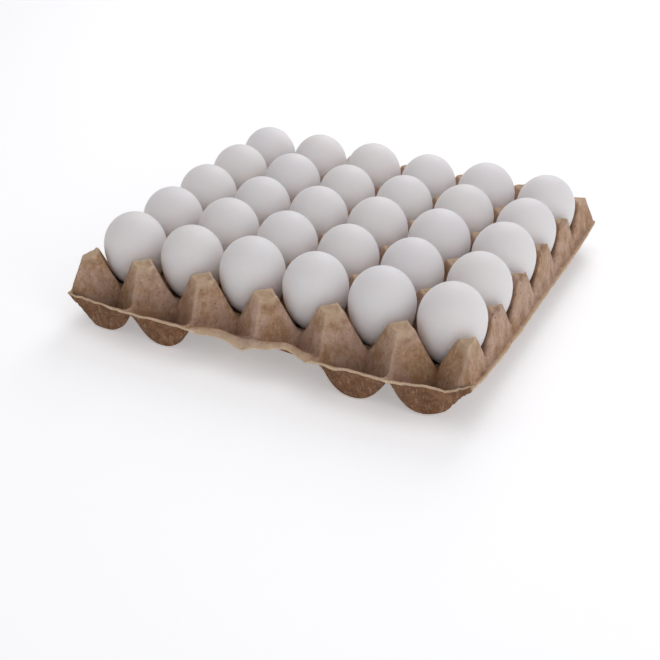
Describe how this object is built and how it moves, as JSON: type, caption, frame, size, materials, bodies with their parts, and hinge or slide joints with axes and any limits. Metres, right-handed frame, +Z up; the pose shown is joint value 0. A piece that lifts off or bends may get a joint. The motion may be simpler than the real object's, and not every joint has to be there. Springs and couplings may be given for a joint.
{
  "type": "egg tray with eggs",
  "caption": "Open moulded-pulp egg tray with raised hollow posts between its cups and pockets along two sides, filled with white hen's eggs standing blunt end up.",
  "frame": {"origin": "middle of the tray, on the surface that the cup bottoms stand on", "axes": "+Z up; +X along a row of six eggs, to the right seen from the front; +Y from the front row to the back row"},
  "size_m": [0.3007, 0.2972, 0.0731],
  "materials": {
    "pulp": "matte, fibrous",
    "eggshell": "matte"
  },
  "bodies": {
    "root": {"tray": "pulp", "egg_a1": "eggshell", "egg_a2": "eggshell", "egg_a3": "eggshell", "egg_a4": "eggshell", "egg_a5": "eggshell", "egg_a6": "eggshell", "egg_b1": "eggshell", "egg_b2": "eggshell", "egg_b3": "eggshell", "egg_b4": "eggshell", "egg_b5": "eggshell", "egg_b6": "eggshell", "egg_c1": "eggshell", "egg_c2": "eggshell", "egg_c3": "eggshell", "egg_c4": "eggshell", "egg_c5": "eggshell", "egg_c6": "eggshell", "egg_d1": "eggshell", "egg_d2": "eggshell", "egg_d3": "eggshell", "egg_d4": "eggshell", "egg_d5": "eggshell", "egg_d6": "eggshell", "egg_e1": "eggshell", "egg_e2": "eggshell", "egg_e3": "eggshell", "egg_e4": "eggshell", "egg_e5": "eggshell", "egg_e6": "eggshell"}
  },
  "joints": []
}
